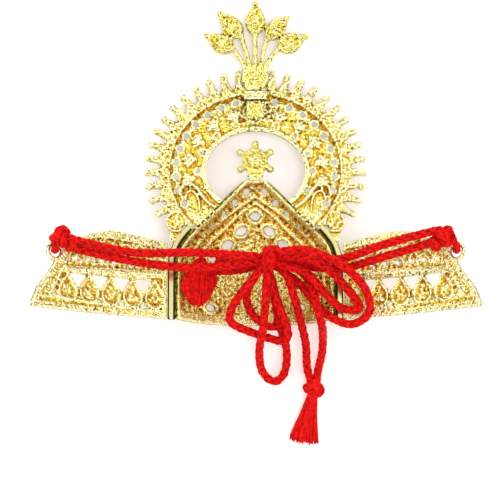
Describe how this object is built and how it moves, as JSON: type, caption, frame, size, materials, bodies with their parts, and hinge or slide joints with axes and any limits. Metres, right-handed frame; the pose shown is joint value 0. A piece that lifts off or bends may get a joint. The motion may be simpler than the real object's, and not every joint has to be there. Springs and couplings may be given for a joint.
{
  "type": "deity crown",
  "caption": "Small gilt crown for a deity figure: pierced domed panel with side wings, rayed halo and plume, tied at the back with a red cord in a bow.",
  "frame": {"origin": "on the ground below the middle of the metal's box, as the crown lies on its front", "axes": "+X to the right as seen from the back, +Y up the crown to the plume, +Z from the ground to the crown's back"},
  "size_m": [0.1312, 0.1353, 0.0389],
  "materials": {
    "gold_plate": "polished cast, gilt",
    "red_stone": "polished",
    "clear_stone": "polished",
    "red_cord": "satin braid"
  },
  "bodies": {
    "root": {"centre_panel": "gold_plate", "halo": "gold_plate", "plume": "gold_plate", "rail_left": "gold_plate", "rail_right": "gold_plate", "star_finial": "gold_plate", "wing_left": "gold_plate", "wing_right": "gold_plate", "stone_wing_left_1": "red_stone", "stone_wing_left_2": "red_stone", "stone_wing_left_3": "red_stone", "stone_wing_left_4": "red_stone", "stone_wing_left_5": "red_stone", "stone_wing_right_1": "red_stone", "stone_wing_right_2": "red_stone", "stone_wing_right_3": "red_stone", "stone_wing_right_4": "red_stone", "stone_wing_right_5": "red_stone", "stone_bezel_left": "red_stone", "stone_bezel_right": "red_stone", "stone_bud_1": "clear_stone", "stone_bud_2": "clear_stone", "stone_bud_3": "clear_stone", "stone_bud_4": "clear_stone", "stone_bud_5": "clear_stone", "stone_star": "clear_stone", "strand_left_upper": "red_cord", "strand_left_lower": "red_cord", "strand_right_upper": "red_cord", "strand_right_lower": "red_cord", "bow_loop_left_outer": "red_cord", "bow_loop_left_inner": "red_cord", "bow_loop_right_outer": "red_cord", "bow_loop_right_inner": "red_cord", "drop_loop": "red_cord", "tail_left": "red_cord", "tail_right": "red_cord", "side_tail_upper": "red_cord", "side_tail_lower": "red_cord", "bow_knot": "red_cord", "ring_knot_left": "red_cord", "ring_knot_right": "red_cord", "tassel_main": "red_cord", "tassel_side": "red_cord"}
  },
  "joints": []
}
